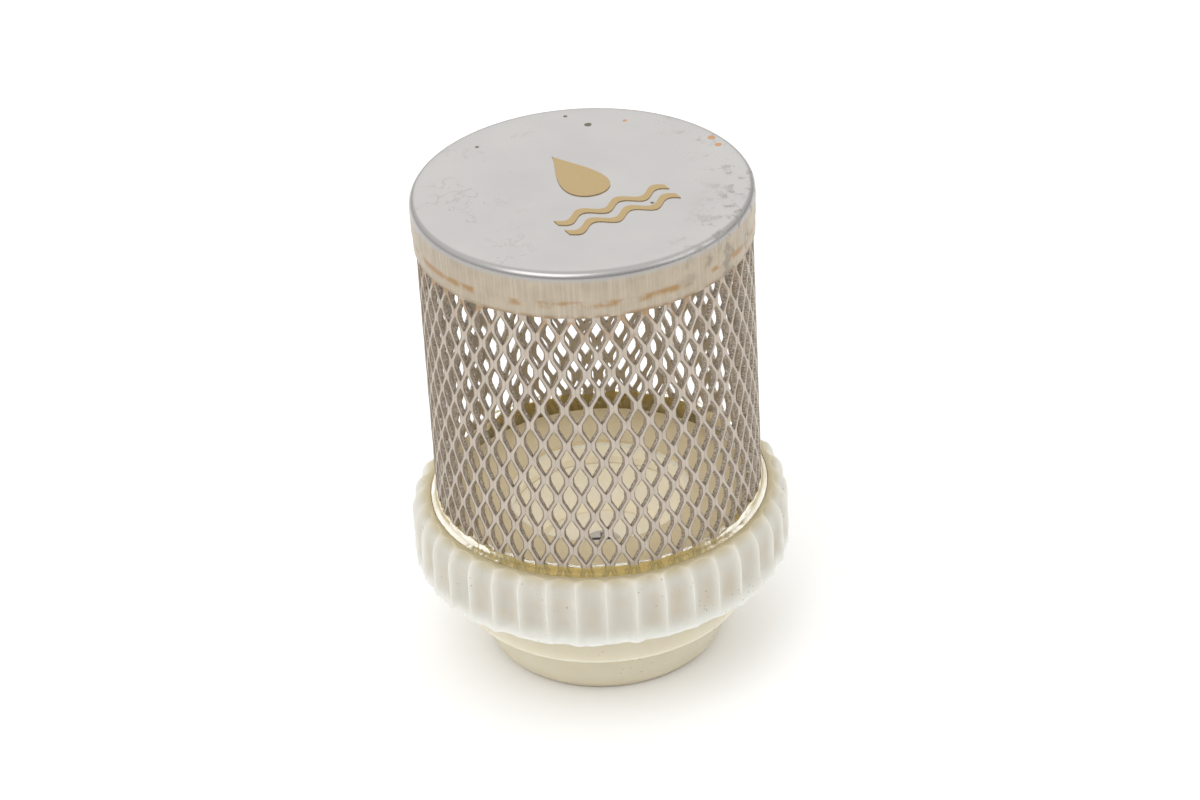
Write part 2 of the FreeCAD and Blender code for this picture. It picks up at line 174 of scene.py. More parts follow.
class Shader:
    """A material whose nodes are added one call at a time."""

    def __init__(self, name, **uniform):
        self.material = bpy.data.materials.new(name)
        self.material.use_nodes = True
        self.tree = self.material.node_tree
        self.surface = self.tree.nodes["Principled BSDF"]
        for socket, value in uniform.items():
            self.surface.inputs[socket.replace("_", " ")].default_value = value
        self.place = self.tree.nodes.new("ShaderNodeTexCoord").outputs["Object"]

    def put(self, value, socket):
        if isinstance(value, bpy.types.NodeSocket):
            self.tree.links.new(value, socket)
        else:
            socket.default_value = value

    def math(self, operation, first, second=0.0, clamp=False):
        node = self.tree.nodes.new("ShaderNodeMath")
        node.operation = operation
        node.use_clamp = clamp
        self.put(first, node.inputs[0])
        self.put(second, node.inputs[1])
        return node.outputs[0]

    def stretch(self, across, along):
        """Object coordinates with features this many times as large across and along the axis."""
        node = self.tree.nodes.new("ShaderNodeMapping")
        self.put(self.place, node.inputs["Vector"])
        node.inputs["Scale"].default_value = (1 / across, 1 / across, 1 / along)
        return node.outputs[0]

    def noise(self, size, detail=3.0, rough=0.5, place=None, twist=0.0):
        """Noise from 0 to 1 with features about size millimetres across."""
        node = self.tree.nodes.new("ShaderNodeTexNoise")
        self.put(place or self.place, node.inputs["Vector"])
        node.inputs["Scale"].default_value = 1 / (size * MM)
        node.inputs["Detail"].default_value = detail
        node.inputs["Roughness"].default_value = rough
        node.inputs["Distortion"].default_value = twist
        return node.outputs["Fac"]

    def step(self, value, low, high):
        """0 below low and 1 above high, smooth between. With low above high it falls instead."""
        node = self.tree.nodes.new("ShaderNodeMapRange")
        node.interpolation_type = "SMOOTHSTEP"
        self.put(value, node.inputs["Value"])
        node.inputs["From Min"].default_value = min(low, high)
        node.inputs["From Max"].default_value = max(low, high)
        node.inputs["To Min"].default_value = float(low > high)
        node.inputs["To Max"].default_value = float(low <= high)
        return node.outputs["Result"]

    def axis(self, letter):
        """One object coordinate, in millimetres."""
        node = self.tree.nodes.new("ShaderNodeSeparateXYZ")
        self.put(self.place, node.inputs[0])
        return self.math("DIVIDE", node.outputs[letter], MM)

    def radius(self):
        """Distance from the valve's axis, in millimetres."""
        squares = [self.math("MULTIPLY", value, value) for value in (self.axis("X"), self.axis("Y"))]
        return self.math("SQRT", self.math("ADD", *squares))

    def spot(self, x, y, size, ragged=0.4):
        """A ragged spot round a place on the cap, in millimetres: 1 inside and 0 outside."""
        offsets = (self.math("SUBTRACT", self.axis("X"), x), self.math("SUBTRACT", self.axis("Y"), y))
        squares = [self.math("MULTIPLY", value, value) for value in offsets]
        gap = self.math("SQRT", self.math("ADD", *squares))
        gap = self.math("ADD", gap, self.math("MULTIPLY", self.noise(size), size * ragged * 2))
        return self.step(gap, size * (1 + ragged) * 1.1, size * (1 + ragged) * 0.8)

    def both(self, *masks):
        result = masks[0]
        for mask in masks[1:]:
            result = self.math("MULTIPLY", result, mask)
        return result

    def either(self, *masks):
        result = masks[0]
        for mask in masks[1:]:
            result = self.math("MAXIMUM", result, mask)
        return result

    def blend(self, factor, first, second):
        """A colour between two, by a factor from 0 to 1."""
        node = self.tree.nodes.new("ShaderNodeMix")
        node.data_type = "RGBA"
        self.put(factor, node.inputs[0])
        self.put(first, node.inputs[6])
        self.put(second, node.inputs[7])
        return node.outputs[2]

    def between(self, factor, low, high):
        """A number between two, by a factor from 0 to 1."""
        return self.math("ADD", self.math("MULTIPLY", factor, high - low), low)

    def finish(self, colour=None, roughness=None, metallic=None, bumps=()):
        """Wires what varies into the surface. bumps are (height, depth in millimetres) pairs."""
        for value, socket in ((colour, "Base Color"), (roughness, "Roughness"), (metallic, "Metallic")):
            if value is not None:
                self.put(value, self.surface.inputs[socket])
        normal = None
        for height, depth in bumps:
            node = self.tree.nodes.new("ShaderNodeBump")
            node.inputs["Distance"].default_value = depth * MM
            self.put(height, node.inputs["Height"])
            if normal:
                self.put(normal, node.inputs["Normal"])
            normal = node.outputs[0]
        if normal:
            self.put(normal, self.surface.inputs["Normal"])
        return self.material


# ---------------------------------------------------------------- materials
# spots on the cap: x, y and size in millimetres
CAP_PITS = ((-1.8, 21.9, 0.35), (1.5, 18.9, 0.6), (9.9, -5.9, 0.3), (-15, 14, 0.3))
CAP_RUST = ((19.4, 12.6, 0.6), (20.3, 10.3, 0.55), (7.0, 19.5, 0.35))


def cap_steel():
    """Pressed stainless sheet: satin, with brushed streaks on the skirt, tarnish, rust specks and wear."""
    m = Shader("cap_steel", Metallic=1.0)
    streaks = m.noise(0.3, 4, 0.6, m.stretch(1, 40))
    cloud = m.noise(9, 3, 0.5)
    level = m.axis("Z")
    skirt = m.step(level, CAP_TOP - 0.9, CAP_TOP - 1.8)
    right = m.both(m.step(m.axis("X"), 8, 22), m.step(m.radius(), 15, 24))
    patches = m.noise(3.5, 5, 0.6)
    colour = m.blend(cloud, linear(163, 161, 160), linear(175, 173, 171))
    tarnish = m.blend(patches, linear(150, 137, 118), linear(194, 181, 162))
    tarnish = m.blend(m.math("MULTIPLY", m.step(streaks, 0.4, 0.75), 0.45), tarnish, linear(204, 193, 174))
    colour = m.blend(m.math("MULTIPLY", skirt, 0.9), colour, tarnish)
    line = m.both(m.step(level, 70.7, 71.6), m.step(level, 72.5, 71.9), m.step(m.noise(3.2, 3), 0.42, 0.6))
    colour = m.blend(m.math("MULTIPLY", line, 0.75), colour, linear(156, 118, 62))
    lip = m.both(m.step(level, 70.2, 69.4), m.step(m.noise(2.2, 3), 0.35, 0.6))
    colour = m.blend(m.math("MULTIPLY", lip, 0.7), colour, linear(134, 98, 54))
    grime = m.both(right, m.step(m.noise(2.6, 5, 0.65), 0.52, 0.66))
    colour = m.blend(m.math("MULTIPLY", grime, 0.55), colour, linear(116, 110, 98))
    pits = m.either(*[m.spot(*place) for place in CAP_PITS])
    colour = m.blend(pits, colour, linear(92, 88, 72))
    rust = m.either(*[m.spot(*place) for place in CAP_RUST])
    colour = m.blend(m.math("MULTIPLY", rust, 0.85), colour, linear(186, 128, 66))
    region = m.both(m.step(m.axis("X"), -4, -12), m.step(m.noise(7, 2), 0.45, 0.62), m.step(skirt, 0.5, 0.1))
    wander = m.math("ABSOLUTE", m.math("SUBTRACT", m.noise(11, 5, 0.65), 0.5))
    fine = m.both(region, m.step(wander, 0.012, 0.004))
    colour = m.blend(m.math("MULTIPLY", fine, 0.3), colour, linear(132, 126, 118))
    dirt = m.either(grime, pits, rust)
    dull = m.math("ADD", m.math("MULTIPLY", skirt, 0.5), m.math("MULTIPLY", dirt, 0.8), True)
    roughness = m.between(dull, 0.27, 0.55)
    bumps = ((m.both(skirt, streaks), 0.012), (m.noise(0.25, 2), 0.002), (m.math("MULTIPLY", dirt, -1), 0.02))
    return m.finish(colour, roughness, m.between(dirt, 1.0, 0.35), bumps)


def mesh_steel():
    """Mill face of the expanded sheet: dull stainless, with painted brown shade on the inner face, and rusty
    under the cap.
    """
    m = Shader("mesh_steel")
    cloud = m.noise(3.0, 4, 0.6)
    fine = m.noise(0.35, 3, 0.6)
    colour = m.blend(cloud, linear(172, 162, 149), linear(206, 196, 184))
    stain = m.both(m.step(m.axis("Z"), 62, 70), m.step(m.noise(2.0, 3), 0.42, 0.62))
    colour = m.blend(m.math("MULTIPLY", stain, 0.7), colour, linear(160, 120, 70))
    # painted shade: the basket's inner face, turned away from the lamps, is made darker and browner
    inside = m.step(m.radius(), MESH_RAD - 0.7, MESH_RAD - 1.0)
    colour = m.blend(m.math("MULTIPLY", inside, 0.8), colour, linear(112, 96, 66))
    return m.finish(colour, m.between(fine, 0.36, 0.62), m.between(cloud, 0.75, 0.95), ((fine, 0.02),))


def edge_shade_steel():
    """Rounded outer edges of the strands, painted darker than the face as shade along the rounding."""
    m = Shader("edge_shade_steel")
    fine = m.noise(0.35, 3, 0.6)
    colour = m.blend(m.noise(3.0, 4, 0.6), linear(122, 110, 96), linear(152, 140, 126))
    return m.finish(colour, m.between(fine, 0.4, 0.65), m.between(fine, 0.6, 0.85), ((fine, 0.03),))


def torn_steel():
    """Sheared edge of the strands: dark, grey-brown and rough."""
    m = Shader("torn_steel")
    tear = m.noise(0.35, 4, 0.7, m.stretch(1, 0.5))
    colour = m.blend(m.step(tear, 0.35, 0.7), linear(138, 126, 112), linear(234, 223, 207))
    return m.finish(colour, m.between(tear, 0.45, 0.75), m.between(tear, 0.35, 0.7), ((tear, 0.06),))


def resin():
    """Clear yellow potting resin, faintly cloudy."""
    m = Shader("resin", IOR=1.45, Transmission_Weight=0.72, Specular_IOR_Level=0.2)
    cloud = m.noise(2.5, 4, 0.6)
    colour = m.blend(cloud, linear(226, 203, 124), linear(238, 218, 146))
    return m.finish(colour, m.between(cloud, 0.12, 0.24), None, ((m.noise(1.2, 2), 0.12),))


def resin_film():
    """The thin skin of resin on the ledge inside the basket, with the milky nylon glowing through it."""
    m = Shader("resin_film", Emission_Color=linear(220, 202, 164), Emission_Strength=FILM_GLOW)
    colour = m.blend(m.noise(6, 3), linear(208, 190, 150), linear(220, 204, 168))
    return m.finish(colour, m.between(m.noise(2, 3), 0.35, 0.55), None, ((m.noise(3, 2), 0.05),))


def specks(m, size, share):
    """Small dark specks caught in a moulding."""
    return m.both(m.step(m.noise(size, 1, 0.3), share + 0.03, share + 0.06), m.step(m.noise(6, 2), 0.52, 0.6))


def collar_nylon():
    """Milky white nylon, glossy on the ridges, with painted tan shade in patches in the flutes and chalky
    moulding flash.
    """
    m = Shader("collar_nylon", Subsurface_Weight=1.0, Subsurface_Scale=0.004)
    m.surface.inputs["Subsurface Radius"].default_value = NYLON_SPREAD
    cloud = m.noise(6, 3)
    flute = m.step(m.radius(), COLLAR_RAD - 0.45, COLLAR_RAD - 1.0)
    colour = m.blend(cloud, linear(196, 193, 183), linear(209, 206, 197))
    middle = m.both(m.step(m.axis("Z"), 24.5, 22), m.step(m.axis("Z"), 17, 19.5))
    # painted shade: a tan tint in patches in the middle of the flutes, where the grip's recesses fall into
    # shade
    flute_shade = m.both(flute, m.step(m.noise(4, 2), 0.3, 0.7), middle)
    colour = m.blend(m.math("MULTIPLY", flute_shade, 0.6), colour, linear(204, 190, 166))
    flash = m.both(m.step(m.axis("Z"), 18.4, 16.4), m.step(m.radius(), 24, 26))
    colour = m.blend(m.math("MULTIPLY", flash, 0.7), colour, linear(212, 214, 209))
    # yellowish on the collar's outer top, next to the resin bead
    resin_side_yellow = m.both(m.step(m.axis("Z"), 24.2, 25.7), m.step(m.radius(), 27.8, 25.8))
    colour = m.blend(m.math("MULTIPLY", resin_side_yellow, 0.85), colour, linear(184, 169, 128))
    colour = m.blend(m.math("MULTIPLY", specks(m, 0.5, 0.7), 0.7), colour, linear(120, 104, 84))
    chalk = m.noise(0.6, 4, 0.65)
    return m.finish(colour, m.between(chalk, 0.22, 0.5), None, ((chalk, 0.03), (m.noise(3, 2), 0.12)))


def body_nylon():
    """Cream nylon, darker and yellower than the collar: partly its own tone, partly painted shade under the
    collar's overhang.
    """
    m = Shader("body_nylon", Subsurface_Weight=1.0, Subsurface_Scale=0.004)
    m.surface.inputs["Subsurface Radius"].default_value = NYLON_SPREAD
    # darker and yellower than the collar: partly the nylon's own tone, partly painted shade from the collar
    # that overhangs the body
    colour = m.blend(m.noise(7, 3), linear(214, 206, 184), linear(224, 217, 197))
    # darker and browner over the lowest 3 mm, towards the foot
    low = m.step(m.axis("Z"), 3.0, 0.3)
    colour = m.blend(m.math("MULTIPLY", low, 0.6), colour, linear(196, 180, 148))
    colour = m.blend(m.math("MULTIPLY", specks(m, 0.45, 0.7), 0.6), colour, linear(118, 100, 78))
    chalk = m.noise(0.8, 4, 0.6)
    return m.finish(colour, m.between(chalk, 0.3, 0.5), None, ((chalk, 0.025), (m.noise(4, 2), 0.1)))


def bore_nylon():
    """Nylon round the water's way, lit through its walls."""
    return moulded("bore_nylon", (226, 218, 196), (236, 229, 210), 0.3, 0.5, BORE_GLOW)


def moulded(name, dark, light, rough_low=0.35, rough_high=0.55, glow=0.0):
    """A small moulded part: two close colours and a fine grain. glow stands in for light through nylon."""
    m = Shader(name, Emission_Color=linear(*light), Emission_Strength=glow)
    grain = m.noise(0.4, 3, 0.6)
    return m.finish(m.blend(m.noise(3, 3), linear(*dark), linear(*light)),
                    m.between(grain, rough_low, rough_high), None, ((grain, 0.02),))


def turned_metal(name, dark, light):
    """Bright metal with fine turning or drawing marks."""
    m = Shader(name, Metallic=1.0)
    marks = m.noise(0.3, 3, 0.6, m.stretch(3, 1))
    return m.finish(m.blend(m.noise(2, 3), linear(*dark), linear(*light)),
                    m.between(marks, 0.2, 0.42), None, ((marks, 0.01),))


def gold_print():
    """Worn gold ink."""
    m = Shader("gold_print", Metallic=0.35)
    worn = m.noise(0.8, 4, 0.65)
    return m.finish(m.blend(worn, linear(158, 134, 90), linear(178, 154, 108)),
                    m.between(worn, 0.35, 0.6), None, ((worn, 0.004),))


def floor_paper():
    m = Shader("floor_paper")
    fibre = m.noise(1.5, 3, 0.6)
    return m.finish(m.blend(fibre, linear(249, 249, 249), linear(252, 252, 252)), m.between(fibre, 0.8, 0.95))


# ---------------------------------------------------------------- end cap
CAP_WALL = 0.45
CAP_INK = 0.03
MARK_SCALE = 1.22
MARK_TURN = math.radians(28)
MARK_CENTRE = (0.4, 1.2)
DROP_MIDDLE = 2.2
DROP_WIDE = 4.1
DROP_TALL = 5.6
DROP_POINT = 1.6
WAVE_LEVELS = (-6.0, -8.6)
WAVE_LONG = 15.0
WAVE_HIGH = 0.75
WAVE_RATE = 1.25
WAVE_THICK = 1.15


def make_cap():
    """Pressed cup: rounded rim, and a skirt that steps in over the mesh and ends in a worn lip."""
    top = CAP_TOP - 2 * CAP_INK
    step_level = CAP_LOW + 2.6
    step_in = 0.12
    low_rad = CAP_RAD - step_in
    inner = MESH_RAD + 0.02
    section = divided(rounded([
        (0, top, 0),
        (CAP_RAD, top, 1.3),
        (CAP_RAD, step_level + 0.3, 0.15),
        (low_rad, step_level - 0.2, 0.15),
        (low_rad - 0.02, CAP_LOW, 0.12),
        (inner, CAP_LOW, 0.1),
        (inner, top - CAP_WALL, 0.5),
        (0, top - CAP_WALL, 0),
    ], 6), 1.2)

    def shape(angle, radius, level):
        """Faint dishing and ripples on the top, and shallow dents round the skirt."""
        points = around(angle, radius, level)
        top_face = np.clip((level - top + 2) / 2, 0, 1) * np.clip((CAP_RAD - 2 - radius) / 4, 0, 1)
        level = level - top_face * (0.05 + 0.05 * ripple(points, 9, 1))
        skirt = np.clip((CAP_TOP - 1.5 - level) / 2, 0, 1) * (radius > MESH_RAD + 0.1)
        radius = radius - skirt * 0.05 * (1 + ripple(points, 5, 2))
        lip = np.clip((CAP_LOW + 0.5 - level) / 0.5, 0, 1)
        return radius, level + lip * 0.12 * (1 + ripple(points, 2.5, 3))

    points, faces = lathe(section, LATHE_STEPS, shape)
    return make_piece("cap_shell", points, faces, "strainer", [cap_steel()], ["end_cap"])


def make_cap_mark():
    """A generic mark in gold ink on the cap: a water drop over two short waves."""
    centre = Vector(MARK_CENTRE)
    drop = []
    count = 48
    for index in range(count):
        angle = math.tau * index / count
        narrow = math.sin(angle / 2) ** DROP_POINT
        drop.append(Vector((DROP_WIDE * math.sin(angle) * narrow, DROP_MIDDLE + DROP_TALL * math.cos(angle))))
    outlines = [drop]
    for level in WAVE_LEVELS:
        steps = 40
        upper = []
        for index in range(steps + 1):
            x = WAVE_LONG * index / steps - WAVE_LONG / 2
            upper.append(Vector((x, level + WAVE_HIGH * math.sin(x * WAVE_RATE))))
        thick = Vector((0, WAVE_THICK))
        outlines.append(upper + [point - thick for point in reversed(upper)])
    spin = Matrix.Rotation(MARK_TURN, 2)
    top = CAP_TOP - 0.1 * CAP_INK
    low = CAP_TOP - 6 * CAP_INK
    points, faces = [], []
    for outline in outlines:
        base = len(points)
        size = len(outline)
        for level in (low, top):
            for point in outline:
                place = centre + spin @ (point * MARK_SCALE)
                points.append((place.x, place.y, level))
        faces.append([base + index for index in reversed(range(size))])
        faces.append([base + size + index for index in range(size)])
        for index in range(size):
            after = (index + 1) % size
            faces.append([base + index, base + after, base + size + after, base + size + index])
    mesh = bpy.data.meshes.new("cap_mark")
    mesh.from_pydata([[value * MM for value in point] for point in points], [], faces)
    mesh.materials.append(gold_print())
    work = bmesh.new()
    work.from_mesh(mesh)
    bmesh.ops.triangulate(work, faces=[face for face in work.faces if len(face.verts) > 4])
    bmesh.ops.recalc_face_normals(work, faces=work.faces)
    work.to_mesh(mesh)
    work.free()
    piece = bpy.data.objects.new("cap_mark", mesh)
    bpy.context.scene.collection.objects.link(piece)
    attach(piece, "strainer")
    return piece


# ---------------------------------------------------------------- expanded metal basket
CELLS = 44
CELL_TALL = 6.0
STRAND_WIDTH = 0.74
STRAND_THICK = 0.8
STRAND_TILT = math.radians(-8)
STRAND_EDGE = 0.17
# share of the swing over which an outer edge hardens near a joint, and what is left of it there
EDGE_FADE = 0.35
EDGE_LEAST = 0.03
JOINED_SWING = 0.8
BOND_HALF = 0.56
BEND_SOFT = 0.14
STRAND_LEVELS = 186
TEAR = 0.02


def strand_swing(levels, odd):
    """Where a strand is at each level: -1 on its left neighbour, +1 on its right one, straight between."""
    place = np.mod(levels + odd * CELL_TALL / 2, CELL_TALL)
    place = np.minimum(place, CELL_TALL - place)
    part = np.clip((place - BOND_HALF) / (CELL_TALL / 2 - 2 * BOND_HALF), 0, 1)
    return 2 * (part + BEND_SOFT * (part * part * (3 - 2 * part) - part)) - 1


def strand_section(swing, random):
    """Six corners (across, through) at each level. The outer edges are soft, except where strands join."""
    half_wide = STRAND_WIDTH / 2
    half_thick = STRAND_THICK / 2
    right_edge = STRAND_EDGE * np.clip((1 - swing) / EDGE_FADE, EDGE_LEAST, 1)
    left_edge = STRAND_EDGE * np.clip((1 + swing) / EDGE_FADE, EDGE_LEAST, 1)
    whole = np.ones_like(swing)
    across = np.stack((-half_wide * whole, half_wide * whole, half_wide * whole, half_wide - right_edge,
                       left_edge - half_wide, -half_wide * whole), axis=-1)
    through = np.stack((-half_thick * whole, -half_thick * whole, half_thick - right_edge, half_thick * whole,
                        half_thick * whole, half_thick - left_edge), axis=-1)
    on_wall = np.array([1, 1, 1, 0.2, 0.2, 1])
    tear = random.normal(0, TEAR, (2,) + across.shape) * on_wall
    return across + tear[0], through + tear[1]


def make_basket():
    """Expanded metal: wavy strands, each joined in turn to the one on its left and the one on its right."""
    random = np.random.default_rng(SEED)
    strands = 2 * CELLS
    sides = 6
    width_way = np.array([math.cos(STRAND_TILT), math.sin(STRAND_TILT)])
    face_way = np.array([-width_way[1], width_way[0]])
    levels = np.linspace(MESH_LOW, MESH_TOP, STRAND_LEVELS)
    corner = STRAND_WIDTH * width_way[1] + STRAND_THICK / 2 * face_way[1]
    middle = MESH_RAD - corner
    pitch = math.tau * middle / strands
    half_swing = (np.array([pitch, 0]) - STRAND_WIDTH * width_way) / 2
    points, faces, choice = [], [], []
    wall = np.tile(np.array([0, 1, 2, 0, 2, 1]), STRAND_LEVELS - 1)
    for strand in range(strands):
        swing = strand_swing(levels, strand % 2)
        across, through = strand_section(swing, random)
        local = (swing[:, None, None] * half_swing + across[..., None] * width_way
                 + through[..., None] * face_way)
        angle = math.tau * strand / strands + local[..., 0] / middle - math.pi / 2
        radius = np.minimum(middle + local[..., 1], MESH_RAD)
        base = len(points) * STRAND_LEVELS * sides
        points.append(around(angle, radius, levels[:, None]).reshape(-1, 3))
        here = base + np.arange(STRAND_LEVELS * sides).reshape(STRAND_LEVELS, sides)
        side = np.roll(here, -1, axis=1)
        faces += np.stack((here[:-1], side[:-1], side[1:], here[1:]), axis=-1).reshape(-1, 4).tolist()
        choice += wall.tolist()
        faces += [here[0][::-1].tolist(), here[-1].tolist()]
        choice += [1, 1]
    # the third material paints shade on the strands' rounded outer edges
    piece = make_piece("basket_mesh", np.concatenate(points), faces, "strainer",
                       [mesh_steel(), torn_steel(), edge_shade_steel()], ["strainer_mesh"], choice, 50)
    mark_joined_edges(piece.data, sides, levels)
    return piece


def mark_joined_edges(mesh, sides, levels):
    """Keeps the outer face flat up to the joint between two strands, so that the joint doesn't show."""
    edges = np.empty(len(mesh.edges) * 2, int)
    mesh.edges.foreach_get("vertices", edges)
    edges = edges.reshape(-1, 2)
    side = edges % sides
    level = edges // sides % STRAND_LEVELS
    strand = edges // (sides * STRAND_LEVELS)
    swing = np.stack([strand_swing(levels, odd) for odd in (0, 1)])[strand % 2, level]
    joined = ((side == 3) & (swing > JOINED_SWING)) | ((side == 4) & (swing < -JOINED_SWING))
    sharp = np.zeros(len(edges), bool)
    marks = mesh.attributes.get("sharp_edge") or mesh.attributes.new("sharp_edge", "BOOLEAN", "EDGE")
    marks.data.foreach_get("value", sharp)
    sharp |= joined.all(axis=1) & (side[:, 0] == side[:, 1])
    marks.data.foreach_set("value", sharp)


# ---------------------------------------------------------------- resin
BUBBLES = 90
BUBBLE_RAD = 24.7
BUBBLE_LOW = 23.5


def make_resin():
    """Resin that fills the collar's pocket, climbs the strands unevenly and holds small bubbles."""
    random = np.random.default_rng(SEED + 1)
    rim = COLLAR_TOP - 0.15
    film_top = LEDGE + 0.43
    film_low = LEDGE + 0.03
    pocket_in = MESH_RAD - 1.55
    film_end = 13.8
    section = divided(rounded([
        (pocket_in, RESIN_LOW, 0),
        (RESIN_RAD, RESIN_LOW, 0),
        (RESIN_RAD, rim, 0.1),
        (MESH_RAD + 0.25, rim + 0.25, 0.3),
        (MESH_RAD + 0.02, RESIN_TOP + 0.5, 0.15),
        (MESH_RAD - 0.85, RESIN_TOP + 0.5, 0.15),
        (MESH_RAD - 1.1, rim - 0.3, 0.4),
        (pocket_in - 0.5, film_top, 0.5),
        (film_end, film_top, 0.1),
        (film_end, film_low, 0),
        (pocket_in, film_low, 0),
    ], 4), 0.8)

    def shape(angle, radius, level):
        points = around(angle, radius, 0 * level)
        climb = np.clip((level - rim) / 0.6, 0, 1) * np.clip((radius - pocket_in) / 0.5, 0, 1)
        wave = 0.4 * ripple(points, 4, 4) + 0.25 * ripple(points, 1.6, 5)
        return radius, level + climb * wave

    points, faces = lathe(section, 360, shape)
    points, faces = list(points), [list(face) for face in faces]
    ball = bmesh.new()
    bmesh.ops.create_icosphere(ball, subdivisions=2, radius=1.0)
    ball_points = np.array([vertex.co for vertex in ball.verts])
    ball_faces = [[vertex.index for vertex in face.verts] for face in ball.faces]
    ball.free()
    ring = np.hypot(np.array(points)[:, 0], np.array(points)[:, 1])
    on_film = [np.mean(ring[face]) < pocket_in - 0.3 for face in faces]
    for _ in range(BUBBLES):
        size = random.uniform(0.06, 0.2)
        angle = random.uniform(0, math.tau)
        radius = random.uniform(BUBBLE_RAD, RESIN_RAD - size)
        centre = around(np.array(angle), radius, random.uniform(BUBBLE_LOW, rim - 0.3))
        base = len(points)
        points += list(ball_points * size + centre)
        faces += [[base + index for index in face] for face in ball_faces]
    mesh = bpy.data.meshes.new("resin_bead")
    mesh.from_pydata((np.array(points) * MM).tolist(), [], faces)
    mesh.materials.append(resin())
    mesh.materials.append(resin_film())
    choice = np.zeros(len(faces), int)
    choice[:len(on_film)] = on_film
    mesh.polygons.foreach_set("material_index", choice)
    mesh.shade_smooth()
    piece = bpy.data.objects.new("resin_bead", mesh)
    bpy.context.scene.collection.objects.link(piece)
    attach(piece, "strainer")
    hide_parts("potting_resin")
    return piece


# ---------------------------------------------------------------- collar
THREAD_PITCH = 2.0
THREAD_DEEP = 0.45
THREAD_FLAT = 0.2
FLUTES = 40
FLUTE_RAD = 2.3
FLUTE_DEEP = 1.05
FLUTE_SOFT = 0.36
FLUTE_FOOT = 0.4
POINTS_PER_FLUTE = 15


def thread_wave(angle, level):
    """The thread's section: 0 at a root and 1 at a crest, with flats at both. It climbs with the angle."""
    turn = level / THREAD_PITCH - angle / math.tau
    place = np.abs(np.mod(turn, 1.0) - 0.5) * 2
    return np.clip((place - THREAD_FLAT) / (1 - 2 * THREAD_FLAT), 0, 1)


def flute_radius(angle):
    """Radius of the grip at an angle: round flutes cut into a cylinder, with soft ridges between them."""
    pitch = math.tau / FLUTES
    offset = np.mod(angle, pitch) - pitch / 2
    centre = COLLAR_RAD + FLUTE_RAD - FLUTE_DEEP
    under = np.maximum(FLUTE_RAD ** 2 - (centre * np.sin(offset)) ** 2, 0)
    cut = np.where(under > 0, centre * np.cos(offset) - np.sqrt(under), COLLAR_RAD + 2)
    return COLLAR_RAD - FLUTE_SOFT * np.log1p(np.exp((COLLAR_RAD - cut) / FLUTE_SOFT))


def make_collar():
    """Fluted collar: a rounded shoulder where the flutes end in arches, and a ragged lower edge."""
    pocket_out = MESH_RAD + 0.9
    pocket_in = MESH_RAD - 1.6
    pocket_low = 20.0
    rim = COLLAR_TOP - 0.05
    rim_rad = 27.2
    edge = COLLAR_TOP - 2.7
    roof = 22.0
    bore = 13.0
    skirt = 20.3
    section = divided(rounded([
        (skirt, COLLAR_LOW, 0.2),
        (COLLAR_RAD, COLLAR_LOW, 0.45),
        (COLLAR_RAD, edge, 0.8),
        (COLLAR_RAD - 0.4, edge + 1.5, 0.7),
        (rim_rad, rim, 0.6),
        (pocket_out, rim, 0.2),
        (pocket_out, pocket_low, 0),
        (pocket_in, pocket_low, 0),
        (pocket_in, LEDGE, 0.1),
        (bore, LEDGE, 0.25),
        (bore, roof, 0.25),
        (skirt, roof, 0.2),
    ], 4), 0.45)

    def shape(angle, radius, level):
        """Cuts the flutes, roughens the outside, and cuts the thread in the skirt."""
        outer = np.clip((radius - rim_rad + 1.0) / 1.0, 0, 1)
        fade = FLUTE_FOOT + (1 - FLUTE_FOOT) * np.clip((level - COLLAR_LOW - 0.5) / 3.0, 0, 1)
        points = around(angle, radius, level)
        uneven = 0.85 + 0.25 * ripple(points, 5, 12)
        new_radius = radius - outer * fade * uneven * (COLLAR_RAD - flute_radius(angle))
        low = np.clip(1 - (level - COLLAR_LOW) / 1.8, 0, 1) * outer
        ragged = ripple(points, 1.5, 6) * 0.6 + ripple(points, 0.6, 7) * 0.4
        new_radius = new_radius - outer * 0.06 * (1 + ripple(points, 3, 8)) + low * ragged * 0.3
        new_level = level + low * (0.35 * ripple(points, 2.6, 9) + 0.15 * ripple(points, 0.9, 13))
        thread = (np.abs(radius - skirt) < 0.01) * np.clip((roof - 0.4 - level) / 0.3, 0, 1)
        thread = thread * np.clip((level - COLLAR_LOW - 0.2) / 0.3, 0, 1)
        new_radius = new_radius - thread * (thread_wave(angle, level) * -THREAD_DEEP + 0.25)
        return np.minimum(new_radius, COLLAR_RAD), np.maximum(new_level, COLLAR_LOW - 0.3)

    points, faces = lathe(section, FLUTES * POINTS_PER_FLUTE, shape)
    lit = in_bore(points, faces, skirt - 1, roof - 0.1)
    materials = [collar_nylon(), bore_nylon()]
    return make_piece("collar_ring", points, faces, "strainer", materials,
                      ["strainer_collar"], lit, 50)


